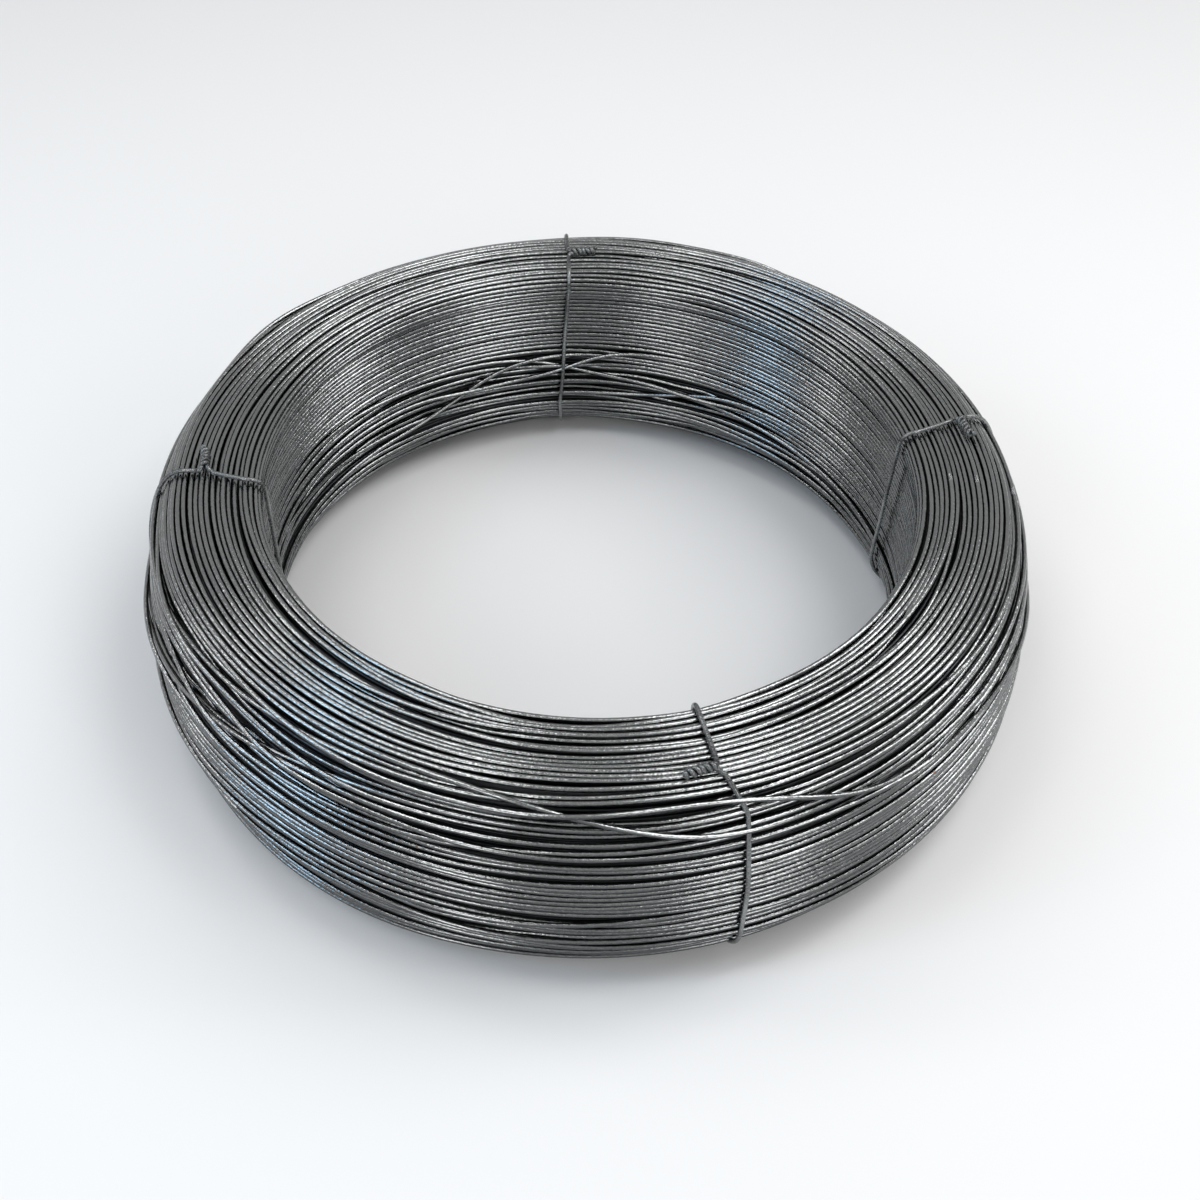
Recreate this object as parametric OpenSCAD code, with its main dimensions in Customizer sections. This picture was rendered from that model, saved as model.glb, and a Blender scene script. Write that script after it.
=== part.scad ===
// Coil of steel wire lying flat with its eye upright, held together by four wire ties.
// The wound wire is one turned solid, and its outermost turns stand out singly all round it.
// The origin is on the axis of the eye, at floor level, and lengths are in millimetres.

/* [Coil] */
// Diameter of the wound wire
wire_d = 2; // [1.6:0.1:2.6]
// Diameter of the eye through the coil
eye_d = 260; // [200:5:340]
// Height of the coil from its lowest turn to its highest
coil_h = 92; // [75:1:120]
// Height of the widest turn above the lowest one
belly_h = 28; // [20:1:40]
// Width of the level top, from the eye to the shoulder
crown_w = 30; // [24:1:60]
// Width of the sloping outer shoulder, from the level top to the widest turn
shoulder_w = 20; // [13:1:40]
// Radius of the inner edge at the top
rim_r = 5; // [4:0.5:8]
// Radius of the inner edge at the bottom
toe_r = 22; // [12:1:24]

/* [Ties] */
// Diameter of the tie wire
tie_d = 1.8; // [1.2:0.1:2.2]
// Space between a tie and the turns under it
tie_gap = 0.3; // [0.2:0.1:0.6]
// Length of the twisted ends
twist_l = 11; // [8:0.5:16]
// Bearings of the front tie at its outer side, knot, inner edge and toe
front_bearings = [-71.1, -73.4, -73, -71]; // [-180:0.1:360]
// Bearings of the right tie at the same four places
right_bearings = [13.3, 12.9, 10.5, 12.7]; // [-180:0.1:360]
// Bearings of the back tie at the same four places
back_bearings = [95.2, 95.2, 95.4, 97]; // [-180:0.1:360]
// Bearings of the left tie at the same four places
left_bearings = [184.5, 184.9, 187.4, 184.6]; // [-180:0.1:360]
// Places of the front, right, back and left knots across the level top, from the eye outwards
knot_places = [1, 0.83, 0.57, 0.73]; // [0.45:0.01:1]

/* [Hidden] */

// Walls and levels of the coil, which stands on the lower runs of its ties
inner_r = eye_d / 2;
outer_r = inner_r + crown_w + shoulder_w;
floor_z = tie_d + tie_gap;
crown_z = floor_z + coil_h;

// Radii across and along the axis of the section's corners: shoulder, heel, toe and rim
corner_radii = [
    [shoulder_w, coil_h - belly_h],
    [shoulder_w, belly_h],
    [toe_r, toe_r],
    [rim_r, rim_r],
];

// Turns: a hair of space between neighbours, and the part of each that stands out
pitch_share = 1.03;
ridge_angles = [-70:35:70];
coil_sides = 180;
turn_arc_step = 5;

// Ties: lay of the twisted ends and size of their bends as shares of the tie wire
spread_share = 0.6;
lay_share = 2.45;
bend_share = 0.9;
swing_l = 18;
lay_step = 40;
bend_step = 18;
tie_sides = 8;
tie_arc_step = 6;

// Corner of the section moved outwards by a margin: 0 shoulder, 1 heel, 2 toe and 3 rim
function corner(index, margin, step) =
    let (
        radii = corner_radii[index],
        outer = index < 2,
        upper = index == 0 || index == 3,
        middle = [
            outer ? outer_r - radii[0] : inner_r + radii[0],
            upper ? crown_z - radii[1] : floor_z + radii[1],
        ]
    )
    [for (turned = [0:step:90])
        let (
            a = 90 - 90 * index - turned,
            outward = unit([radii[1] * cos(a), radii[0] * sin(a)])
        )
        middle + [radii[0] * cos(a), radii[1] * sin(a)] + margin * outward];

// Outline of the section moved outwards by a margin, clockwise from the start of the shoulder
function outline(margin, step) = [for (index = [0:3]) each corner(index, margin, step)];

// Length along a path from its start to each of its points
function runs(path) =
    let (last = len(path) - 1)
    [for (i = 0, s = 0; i <= last; i = i + 1, s = s + norm(path[min(i, last)] - path[i - 1])) s];

// One coordinate of a path against its length
function table(path, run, axis) = [for (i = [0:len(path) - 1]) [run[i], path[i][axis]]];

// Centres of the outermost turns, evenly spaced along the closed outline
function turn_centres() =
    let (
        open = outline(-wire_d / 2, turn_arc_step),
        path = concat(open, [open[0]]),
        run = runs(path),
        length = run[len(run) - 1],
        count = floor(length / (wire_d * pitch_share)),
        across = table(path, run, 0),
        along = table(path, run, 1)
    )
    [for (i = [0:count - 1]) let (s = length * i / count) [lookup(s, across), lookup(s, along)]];

// Section of the coil: the ridges of its outermost turns, one after the other
function section(centres) =
    let (count = len(centres))
    [for (i = [0:count - 1])
        let (
            ahead = unit(centres[(i + 1) % count] - centres[(i + count - 1) % count]),
            outward = [-ahead[1], ahead[0]]
        )
        for (a = ridge_angles)
            centres[i] + wire_d / 2 * (cos(a) * outward + sin(a) * ahead)];

function unit(v) = v / norm(v);
function reversed(list) = [for (i = [len(list) - 1:-1:0]) list[i]];

// One strand of a twisted end from its bend to its tip, as length, radius and level.
// The outer strand has side 1 and the inner one side -1.
function strand(knot_r, side) =
    let (
        level = crown_z + tie_gap + tie_d / 2,
        spread = tie_d * spread_share,
        bend = tie_d * bend_share,
        lay_end = 360 * twist_l / (tie_d * lay_share)
    )
    concat(
        [for (b = [0:bend_step:90])
            [
                bend * (1 - cos(b)),
                knot_r + side * (spread + bend * (1 - sin(b))),
                level + spread * (1 - cos(2 * b)) / 2,
            ]],
        [for (a = [lay_step:lay_step:lay_end])
            [
                bend + twist_l * a / lay_end,
                knot_r + side * spread * cos(a),
                level + spread * (1 + side * sin(a)),
            ]]
    );

// Strand laid along the turns, clockwise seen from above, at the bearing of its knot
function laid(points, bearing) =
    [for (p = points)
        [
            p[1] * cos(bearing) + p[0] * sin(bearing),
            p[1] * sin(bearing) - p[0] * cos(bearing),
            p[2],
        ]];

// Run of a tie round the section, from the outer side of its knot to the inner side
function tie_loop(bearings, knot_r) =
    let (
        margin = tie_gap + tie_d / 2,
        start_r = knot_r + tie_d * (spread_share + bend_share),
        shoulder = [for (p = corner(0, margin, tie_arc_step)) if (p[0] > start_r) p],
        under = concat(corner(1, margin, tie_arc_step), corner(2, margin, tie_arc_step)),
        path = concat(shoulder, under, corner(3, margin, tie_arc_step)),
        run = runs(path),
        heel = len(shoulder),
        toe = heel + len(under) - 1,
        last = len(path) - 1,
        swing = [
            [0, bearings[1]],
            [swing_l, bearings[0]],
            [run[heel], bearings[0]],
            [run[toe], bearings[3]],
            [run[last], bearings[2]],
        ]
    )
    [for (i = [0:last])
        let (a = lookup(run[i], swing))
        [path[i][0] * cos(a), path[i][0] * sin(a), path[i][1]]];

// Whole path of a tie: one twisted strand, once round the section, and the other strand
function tie_path(bearings, place) =
    let (knot_r = inner_r + place * crown_w)
    concat(
        reversed(laid(strand(knot_r, 1), bearings[1])),
        tie_loop(bearings, knot_r),
        laid(strand(knot_r, -1), bearings[1])
    );

// Directions of a path at each of its points
function headings(path) =
    let (last = len(path) - 1)
    [for (i = [0:last]) unit(path[min(i + 1, last)] - path[max(i - 1, 0)])];

// Part of a direction that is square to a heading
function squared(n, heading) = unit(n - (n * heading) * heading);

// Normals carried along a path without turning about it
function normals(heading) =
    let (last = len(heading) - 1)
    [for (
        i = 0, n = squared([0, 0, 1], heading[0]);
        i <= last;
        i = i + 1, n = squared(n, heading[min(i, last)])
    ) n];

// Round wire swept along a path
module wire(path, d, sides) {
    heading = headings(path);
    normal = normals(heading);
    rings = len(path);
    points = [
        for (i = [0:rings - 1], k = [0:sides - 1])
            let (a = 360 * k / sides)
            path[i] + d / 2 * (cos(a) * normal[i] + sin(a) * cross(heading[i], normal[i]))
    ];
    skin = [
        for (i = [0:rings - 2], k = [0:sides - 1])
            let (next = (k + 1) % sides)
            [i * sides + k, (i + 1) * sides + k, (i + 1) * sides + next, i * sides + next]
    ];
    caps = [
        [for (k = [0:sides - 1]) k],
        [for (k = [sides - 1:-1:0]) (rings - 1) * sides + k],
    ];
    polyhedron(points = points, faces = concat(skin, caps));
}

// The wound wire, turned about the axis of the eye
module wire_coil() {
    color("silver") rotate_extrude($fn = coil_sides) polygon(section(turn_centres()));
}

// One tie wire, its ends twisted together on top of the coil
module tie(bearings, place) {
    color("dimgray") wire(tie_path(bearings, place), tie_d, tie_sides);
}

wire_coil();
tie(front_bearings, knot_places[0]);  // tie_front
tie(right_bearings, knot_places[1]);  // tie_right
tie(back_bearings, knot_places[2]);  // tie_back
tie(left_bearings, knot_places[3]);  // tie_left
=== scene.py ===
"""Coil of steel wire with four ties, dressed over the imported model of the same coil.

The wire is laid turn by turn round the coil's section: an under layer, a surface layer whose turns
bunch and part, and strands that cross over it. Lengths are in metres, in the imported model's frame.
"""

import math

import bmesh
import bpy
import numpy as np
from bpy.props import FloatProperty, FloatVectorProperty, IntProperty, PointerProperty
from mathutils import Matrix, Vector


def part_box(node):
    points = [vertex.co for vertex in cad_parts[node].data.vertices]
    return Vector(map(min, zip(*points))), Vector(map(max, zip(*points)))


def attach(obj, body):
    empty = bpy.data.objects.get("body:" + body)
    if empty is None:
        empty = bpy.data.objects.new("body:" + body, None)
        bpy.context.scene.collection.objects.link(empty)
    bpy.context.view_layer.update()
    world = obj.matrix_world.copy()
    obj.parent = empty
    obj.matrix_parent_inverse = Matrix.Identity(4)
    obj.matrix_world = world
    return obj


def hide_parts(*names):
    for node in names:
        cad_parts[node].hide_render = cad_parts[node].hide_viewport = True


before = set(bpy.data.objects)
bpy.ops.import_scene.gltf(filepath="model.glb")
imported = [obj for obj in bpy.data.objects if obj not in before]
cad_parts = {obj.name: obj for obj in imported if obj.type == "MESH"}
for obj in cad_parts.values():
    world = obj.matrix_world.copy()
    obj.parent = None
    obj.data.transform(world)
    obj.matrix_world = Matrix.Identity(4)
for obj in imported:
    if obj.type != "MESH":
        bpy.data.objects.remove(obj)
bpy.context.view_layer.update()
coil_low, coil_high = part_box("wire_coil")

bl_info = {
    "name": "Tied wire coil",
    "version": (1, 0, 0),
    "blender": (4, 5, 0),
    "location": "3D View > Sidebar > Wire Coil",
    "description": "Winds a coil of steel wire, ties it and sets it on a pale floor",
    "category": "Add Mesh",
}

# Bearings in degrees of each tie at its outer side, knot, inner edge and toe, and its knot's place as a
# share of the way from the eye to the shoulder
TIES = {
    "front": ((-71.1, -73.4, -73.0, -71.0), 1.0),
    "right": ((13.3, 12.9, 10.5, 12.7), 0.83),
    "back": ((95.2, 95.2, 95.4, 97.0), 0.57),
    "left": ((184.5, 184.9, 187.4, 184.6), 0.73),
}

# Unit of the heights and widths in the next tables
MILLIMETRE = 0.001

# Bundles of turns that stand proud or fall back: part of the section, share of it from and to,
# bearing, half width in degrees and height in millimetres
BUNDLES = (
    ("shoulder", 0.02, 0.5, 203.0, 15.0, 1.2),
    ("shoulder", 0.52, 0.95, 217.0, 18.0, 1.5),
    ("shoulder", 0.1, 0.98, -22.0, 18.0, 1.2),
    ("heel", 0.3, 0.75, 240.0, 22.0, 1.5),
    ("wall", 0.03, 0.9, 90.0, 400.0, -1.9),
)

# Bare gaps between turns: part of the section, share of it, bearing, half width in degrees and width
# in millimetres
PARTINGS = (
    ("shoulder", 0.02, 266.0, 18.0, 1.3),
    ("crown", 0.48, 270.0, 24.0, 0.6),
    ("shoulder", 0.36, 263.0, 18.0, 0.9),
    ("shoulder", 0.22, 237.0, 16.0, 2.0),
    ("shoulder", 0.35, 315.0, 14.0, 1.5),
    ("shoulder", 0.73, 308.0, 18.0, 1.6),
    ("heel", 0.3, 246.0, 24.0, 1.8),
    ("heel", 0.15, 280.0, 30.0, 0.9),
    ("wall", 0.02, 97.0, 26.0, 2.4),
    ("wall", 0.97, 66.0, 12.0, 1.4),
    ("wall", 0.6, 118.0, 50.0, 0.6),
    ("wall", 0.36, 8.0, 20.0, 0.8),
    ("wall", 0.72, 2.0, 24.0, 0.7),
    ("wall", 0.3, 176.0, 24.0, 0.7),
    ("wall", 0.7, 187.0, 22.0, 0.6),
    ("crown", 0.6, 100.0, 60.0, 0.6),
)

# Strands that cross over their neighbours: part of the section and share of it where the first of them
# starts to cross, count of strands side by side, bearing, count of turns crossed and half width in
# degrees of the crossing, and bearing and half width of the way back
CROSSINGS = (
    ("shoulder", 0.2, 1, 274.0, 4, 22.0, 138.0, 24.0),
    ("shoulder", 0.3, 1, 299.0, 4, 15.0, 60.0, 24.0),
    ("shoulder", 0.42, 2, 219.0, -7, 27.0, 140.0, 30.0),
    ("shoulder", 0.45, 1, 329.0, 5, 24.0, 55.0, 26.0),
    ("wall", 0.44, 1, 95.0, -4, 9.0, 240.0, 24.0),
    ("wall", 0.21, 1, 94.0, 3, 8.0, 310.0, 22.0),
    ("wall", 0.2, 1, 74.0, -3, 12.0, 150.0, 20.0),
    ("wall", 0.4, 1, 118.0, -6, 16.0, 330.0, 22.0),
)

# Further crossing strands that fall by chance: part of the section, share of it from and to, and count
STRAYS = (
    ("crown", 0.3, 0.8, 2),
    ("shoulder", 0.12, 0.9, 6),
    ("heel", 0.15, 0.7, 4),
    ("wall", 0.06, 0.4, 2),
    ("toe", 0.6, 0.6, 1),
)


class CoilSizes(bpy.types.PropertyGroup):
    """Sizes of the wound coil"""

    outer_radius: FloatProperty(
        name="Outer radius",
        description="Radius of the widest turn",
        default=coil_high.x,
        unit="LENGTH",
    )
    eye_radius: FloatProperty(
        name="Eye radius",
        description="Radius of the round opening through the coil",
        default=0.13,
        unit="LENGTH",
    )
    floor_level: FloatProperty(
        name="Lowest turn",
        description="Height of the underside of the lowest turn above the floor",
        default=coil_low.z,
        unit="LENGTH",
    )
    crown_level: FloatProperty(
        name="Highest turn",
        description="Height of the top of the highest turn above the floor",
        default=coil_high.z,
        unit="LENGTH",
    )
    belly_height: FloatProperty(
        name="Belly height",
        description="Height of the widest turn above the lowest one",
        default=0.028,
        unit="LENGTH",
    )
    shoulder_width: FloatProperty(
        name="Shoulder width",
        description="Width of the sloping outer side",
        default=0.02,
        unit="LENGTH",
    )
    rim_radius: FloatProperty(
        name="Rim radius",
        description="Radius of the inner edge at the top",
        default=0.005,
        unit="LENGTH",
    )
    toe_radius: FloatProperty(
        name="Toe radius",
        description="Radius of the inner edge at the bottom",
        default=0.022,
        unit="LENGTH",
    )
    wire_diameter: FloatProperty(
        name="Wire diameter",
        description="Diameter of the wound wire",
        default=0.002,
        unit="LENGTH",
    )
    wander: FloatProperty(
        name="Wander",
        description="How far a turn strays from its even place",
        default=0.0009,
        unit="LENGTH",
    )
    seed: IntProperty(
        name="Lay",
        description="Number that picks one way for the turns to fall",
        default=11,
    )


class TieSizes(bpy.types.PropertyGroup):
    """Sizes of the tie wires"""

    diameter: FloatProperty(
        name="Tie diameter",
        description="Diameter of the tie wire",
        default=0.0018,
        unit="LENGTH",
    )
    standoff: FloatProperty(
        name="Standoff",
        description="Space between a tie and the turns under it",
        default=0.0003,
        unit="LENGTH",
    )
    twist_length: FloatProperty(
        name="Twist length",
        description="Length of the two ends twisted together",
        default=0.011,
        unit="LENGTH",
    )


class WireFinish(bpy.types.PropertyGroup):
    """Colours of the wire and the stage"""

    bright_steel: FloatVectorProperty(
        name="Bright steel",
        description="Colour of the wire where its skin is clean",
        subtype="COLOR",
        default=(0.465, 0.475, 0.475),
    )
    dull_steel: FloatVectorProperty(
        name="Dull steel",
        description="Colour of the wire where its skin is dull",
        subtype="COLOR",
        default=(0.295, 0.305, 0.308),
    )
    # Painted shade: this colour darkens the undersides of the turns, the turns near the floor and the under
    # layer, where shade falls
    painted_shade_steel: FloatVectorProperty(
        name="Painted shade steel",
        description="Colour of the undersides of the turns and of the under layer between them",
        subtype="COLOR",
        default=(0.055, 0.057, 0.06),
    )
    rust: FloatVectorProperty(
        name="Rust",
        description="Colour of the few rust specks",
        subtype="COLOR",
        default=(0.19, 0.085, 0.035),
    )
    tie_light: FloatVectorProperty(
        name="Tie, worn",
        description="Colour of the tie wire where it is rubbed",
        subtype="COLOR",
        default=(0.34, 0.35, 0.35),
    )
    tie_dark: FloatVectorProperty(
        name="Tie, annealed",
        description="Colour of the tie wire's dark skin",
        subtype="COLOR",
        default=(0.055, 0.058, 0.06),
    )
    floor: FloatVectorProperty(
        name="Floor",
        description="Colour of the floor under the coil",
        subtype="COLOR",
        default=(0.86, 0.86, 0.86),
    )


class Section:
    """Outline of the coil's section through the centres of its surface turns.

    It starts under the heel and runs inwards: toe, wall, rim, crown, shoulder and heel.
    """

    # Steps in which the outline goes round each corner
    CORNER_STEPS = 90

    def __init__(self, sizes, depth):
        wide, low = sizes.outer_radius - sizes.shoulder_width, sizes.floor_level
        rise = sizes.crown_level - low - sizes.belly_height
        toe, rim = sizes.toe_radius, sizes.rim_radius
        corners = (
            ("toe", 270, (sizes.eye_radius + toe, low + toe), (toe, toe)),
            ("rim", 180, (sizes.eye_radius + rim, sizes.crown_level - rim), (rim, rim)),
            ("shoulder", 90, (wide, sizes.crown_level - rise), (sizes.shoulder_width, rise)),
            ("heel", 0, (wide, low + sizes.belly_height), (sizes.shoulder_width, sizes.belly_height)),
        )
        points, outward, self.ends = [], [], {}
        for name, start, middle, radii in corners:
            angle = np.radians(start - np.linspace(0, 90, self.CORNER_STEPS + 1))
            normal = np.stack([radii[1] * np.cos(angle), radii[0] * np.sin(angle)], axis=1)
            normal /= np.linalg.norm(normal, axis=1, keepdims=True)
            arc = np.array(middle) + np.stack([radii[0] * np.cos(angle), radii[1] * np.sin(angle)], axis=1)
            first = len(points) * angle.size
            self.ends[name] = (first, first + self.CORNER_STEPS)
            points.append(arc - depth * normal)
            outward.append(normal)
        self.points = np.concatenate(points)
        self.outward = np.concatenate(outward)
        steps = np.linalg.norm(np.diff(self.points, axis=0, append=self.points[:1]), axis=1)
        self.run = np.concatenate([[0.0], np.cumsum(steps)[:-1]])
        self.length = steps.sum()
        self.marks = {name: (self.run[first], self.run[last]) for name, (first, last) in self.ends.items()}
        self.marks["wall"] = (self.marks["toe"][1], self.marks["rim"][0])
        self.marks["crown"] = (self.marks["rim"][1], self.marks["shoulder"][0])

    def spot(self, part, share):
        """Length along the outline at a share of one of its parts."""
        start, end = self.marks[part]
        return start + share * (end - start)

    def crown_spot(self, radius):
        """Length along the outline at a radius on the flat crown."""
        inner, outer = self.points[self.ends["rim"][1], 0], self.points[self.ends["shoulder"][0], 0]
        return self.spot("crown", (radius - inner) / (outer - inner))

    def place(self, run, rise):
        """Radius, level and outward angle at a length along the outline and a height above it."""
        def read(values):
            return np.interp(run, self.run, values, period=self.length)

        outward = np.arctan2(read(self.outward[:, 1]), read(self.outward[:, 0]))
        radius = read(self.points[:, 0]) + rise * np.cos(outward)
        return radius, read(self.points[:, 1]) + rise * np.sin(outward), outward


def round_bearings(steps):
    """Bearings in degrees of the steps of one turn."""
    return np.arange(steps) * 360 / steps


def bearing_gap(bearings, middle):
    """Degrees from a middle bearing, the short way round."""
    return (bearings - middle + 180) % 360 - 180


def hump(bearings, middle, half):
    """Smooth rise over the bearings: 1 at its middle, and 0 from half its width on."""
    away = np.clip(np.abs(bearing_gap(bearings, middle)) / half, 0, 1)
    return 0.5 + 0.5 * np.cos(np.pi * away)


def nearness(bearings, middle, reach):
    """How near the bearings are to a middle one: 1 there, fading out past a reach in degrees."""
    return np.exp(-((bearing_gap(bearings, middle) / reach) ** 2))


def tie_nearness(bearings, reach):
    """How near the bearings are to the knot of each tie in turn."""
    return [nearness(bearings, knot, reach) for (_, knot, _, _), _ in TIES.values()]


def eased(share):
    """Smooth step from 0 to 1."""
    share = np.clip(share, 0, 1)
    return share * share * (3 - 2 * share)


def blurred(values, width):
    """Values along a wire, averaged over a few steps either side."""
    reach = int(3 * width)
    weights = np.exp(-0.5 * (np.arange(-reach, reach + 1) / width) ** 2)
    padded = np.concatenate([np.full(reach, values[0]), values, np.full(reach, values[-1])])
    return np.convolve(padded, weights / weights.sum(), mode="valid")


def blurred_loop(values, width):
    """Values round a closed loop of wire, averaged over a few steps either side."""
    return blurred(np.tile(values, 3), width)[values.size:2 * values.size]


def read_steps(spots, scales, values):
    """Values at one spot in each step of a turn, read along the column that the step has in a table."""
    return np.array([np.interp(*columns) for columns in zip(spots, scales.T, values.T)])


def packed(targets, gaps):
    """Places nearest to the targets at which each turn keeps its gap from the one before it."""
    offsets = np.concatenate([np.zeros((1, targets.shape[1])), np.cumsum(gaps, axis=0)])
    free = targets - offsets
    for column in range(free.shape[1]):
        blocks = []
        for value in free[:, column]:
            mean, count = value, 1
            while blocks and blocks[-1][0] > mean:
                other, others = blocks.pop()
                mean = (mean * count + other * others) / (count + others)
                count += others
            blocks.append((mean, count))
        free[:, column] = np.repeat([mean for mean, _ in blocks], [count for _, count in blocks])
    return free + offsets


class Winding:
    """Where each turn of the wire lies, as lengths along the section and heights above it."""

    # Rings of points in one turn of the surface layer and of the under layer
    STEPS = 240
    UNDER_STEPS = 120

    # Mean spacing of the surface turns in wire diameters, by part of the section and share of it
    SPACING = (
        ("toe", 0.5, 1.15), ("wall", 0.0, 1.2), ("wall", 0.3, 1.14), ("wall", 0.45, 1.02),
        ("wall", 0.97, 1.02), ("crown", 0.1, 1.05), ("shoulder", 0.3, 1.08), ("shoulder", 0.75, 1.2),
        ("heel", 0.0, 1.35), ("heel", 0.6, 1.5), ("heel", 1.0, 1.2),
    )

    # Samples along the section at which the spacing is added up
    SPACING_SAMPLES = 2000

    # Share of the space between turns that stays when they are pushed together, and share of a diameter
    # by which a sunk turn lets its neighbours closer
    KEPT_SPACE_SHARE = 0.6
    SQUEEZE_SHARE = 0.42

    # Degrees either side of bearing 0, where one turn runs on into the next, in which no turn sinks
    RUN_ON_REACH = 12

    # Turns over which the others move up to make room for a crossing strand
    ROOM_TURNS = 3

    # Bearing of the loosest turns. Shares of their freedom that those at the far side and low on the wall
    # have, and shares of it that the upper wall and the ties take away
    LOOSEST = -90.0
    FAR_LOOSE_SHARE = 0.35
    LOW_LOOSE_SHARE = 0.8
    WALL_HOLD_SHARE = 0.85
    TIE_HOLD_SHARE = 0.4

    # Shares of the wall at which its loose part ends and its tight part starts, and the lengths over which
    # the turns change there and at the rim
    LOOSE_END_SHARE = 0.3
    TIGHT_START_SHARE = 0.35
    WALL_CHANGE = 0.012
    RIM_CHANGE = 0.006

    # Degrees either side in which a tie holds the turns, presses them down and evens them out
    HOLD_REACH = 14
    PRESS_REACH = 5
    EVEN_REACH = 7

    # Depth to which a tie presses the turns, and length over which the edge of a bundle rises
    TIE_PRESS = 0.00025
    BUNDLE_EDGE = 0.0013

    # Range of the turns from one sunk turn to the next, and one turn in how many sinks at the most
    SUNK_STEPS = (2, 5)
    SUNK_ONE_IN = 5

    # Share of the step to a sunk turn that its neighbours rise by, and share that they lose at a tie
    NEST_SHARE = 0.5
    NEST_LOSS_SHARE = 0.45

    # Waves that neighbouring turns share, sideways and in height: their count, the range of their number
    # round the section, and the most turns of phase in one turn of bearing
    SIDE_WAVES = (24, 12, 36, 6)
    SWELLS = (16, 14, 40, 4)

    # Size of those waves: sideways as a share of the wander, and in height
    SIDE_WAVE_SHARE = 0.3
    SWELL_HEIGHT = 0.00011

    # Waves that each turn has by itself, sideways and in height: fewest and most in a turn, and their count
    OWN_WAVES = (0.7, 12.5, 28)
    OWN_SWELLS = (0.4, 3.3, 12)

    # How far chance shifts the number of sideways ones in a turn, and their size as a share of the wander
    OWN_WAVE_CHANCE = 0.2
    OWN_WAVE_SHARE = 0.117

    # Size of the ones in height, and the least share of it that turns keep where they are held
    OWN_SWELL_HEIGHT = 0.000175
    OWN_SWELL_LEAST_SHARE = 0.33

    # Range of a wave's height as shares of the mean, and widest phase in radians, about a full turn
    WAVE_HEIGHT_SHARES = (0.6, 1.4)
    WIDEST_PHASE = 6.28

    # Under layer: spacing and depth in wire diameters, and the count of its waves, their height and the
    # range of their number in a turn
    UNDER_SPACING = 1.035
    UNDER_DEPTH = 1.42
    UNDER_WAVES = 10
    UNDER_WAVE_HEIGHT = 0.00012
    UNDER_WAVE_RANGE = (0.5, 3.5)

    # Stray crossings: bearings between the ties, range of the half width, and counts of turns crossed
    STRAY_SPANS = ((16, 92), (100, 180), (190, 282), (294, 358))
    STRAY_HALVES = (20, 31)
    STRAY_HOPS = (-3, -2, 1, 2)

    # Turns between strands that cross side by side, and share of half a crossing in which a strand lifts
    STRAND_PITCH = 2
    LIFT_SHARE = 0.4

    # Crossing strands in wire diameters: reach and depth of the press on the turns below, and reach of one
    # strand that lies on another. The last is the share of a squared diameter that keeps those two apart
    CROSSING_PRESS_REACH = 1.6
    CROSSING_PRESS = 0.5
    STACK_REACH = 0.85
    STACK_SHARE = 0.8

    # Steps either side over which a strand holds its height, and steps that soften runs and heights
    HOLD_STEPS = 3
    RUN_BLUR = 2.6
    NEST_BLUR = 1.6
    CROSSING_RUN_BLUR = 4
    CROSSING_RISE_BLUR = 3.2

    def __init__(self, sizes):
        self.sizes = sizes
        self.diameter = sizes.wire_diameter
        self.section = Section(sizes, self.diameter / 2)
        self.bearings = round_bearings(self.STEPS)
        self.chance = np.random.default_rng(sizes.seed)
        self.wind_surface()
        self.wind_under()
        self.wind_crossings()

    def chance_waves(self, count, fewest, most, turns, size):
        """Waves round the section: length, turns of phase per turn of bearing, phase and height."""
        waves = []
        for _ in range(count):
            length = self.section.length / self.chance.integers(fewest, most)
            phase_turns = self.chance.integers(-turns, turns + 1)
            phase = self.chance.uniform(0, self.WIDEST_PHASE)
            waves.append((length, phase_turns, phase, size * self.chance.uniform(*self.WAVE_HEIGHT_SHARES)))
        return waves

    def wavy(self, waves, run, bearings):
        """Sum of waves that neighbouring turns share, which bunches them and leaves gaps."""
        total = np.zeros(np.broadcast(run, bearings).shape)
        for length, turns, phase, size in waves:
            total += size * np.sin(2 * np.pi * run / length + np.radians(turns * bearings) + phase)
        return total

    def own_waves(self, along, numbers):
        """Sum of waves along the wire by itself, with one wave for each number of them in a turn."""
        total = np.zeros(along.shape)
        for number in numbers:
            total += np.sin(2 * np.pi * number * along + self.chance.uniform(0, self.WIDEST_PHASE))
        return total

    def looseness(self, run, bearings):
        """How freely the turns wander: little on the wall's upper part and under the ties."""
        section = self.section
        wall = eased((run - section.spot("wall", self.TIGHT_START_SHARE)) / self.WALL_CHANGE)
        wall *= 1 - eased((run - section.spot("rim", 0.0)) / self.RIM_CHANGE)
        low = 1 - eased((run - section.spot("wall", self.LOOSE_END_SHARE)) / self.WALL_CHANGE)
        facing = hump(bearings, self.LOOSEST, 180)
        share = self.FAR_LOOSE_SHARE + (1 - self.FAR_LOOSE_SHARE) * facing ** 2
        share = np.maximum(share, self.LOW_LOOSE_SHARE * low) * (1 - self.WALL_HOLD_SHARE * wall)
        for near in tie_nearness(bearings, self.HOLD_REACH):
            share = share * (1 - self.TIE_HOLD_SHARE * near)
        return share

    def proud(self, run, bearings):
        """Height of the bundles that stand out or fall back, and of the turns that the ties press down."""
        height = np.zeros(np.broadcast(run, bearings).shape)
        for part, start, end, bearing, half, size in BUNDLES:
            rising = np.tanh((run - self.section.spot(part, start)) / self.BUNDLE_EDGE)
            falling = np.tanh((run - self.section.spot(part, end)) / self.BUNDLE_EDGE)
            across = 0.5 * (rising - falling)
            height = height + MILLIMETRE * size * across * hump(bearings, bearing, half)
        for near in tie_nearness(bearings, self.PRESS_REACH):
            height = height - self.TIE_PRESS * near
        return height

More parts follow.
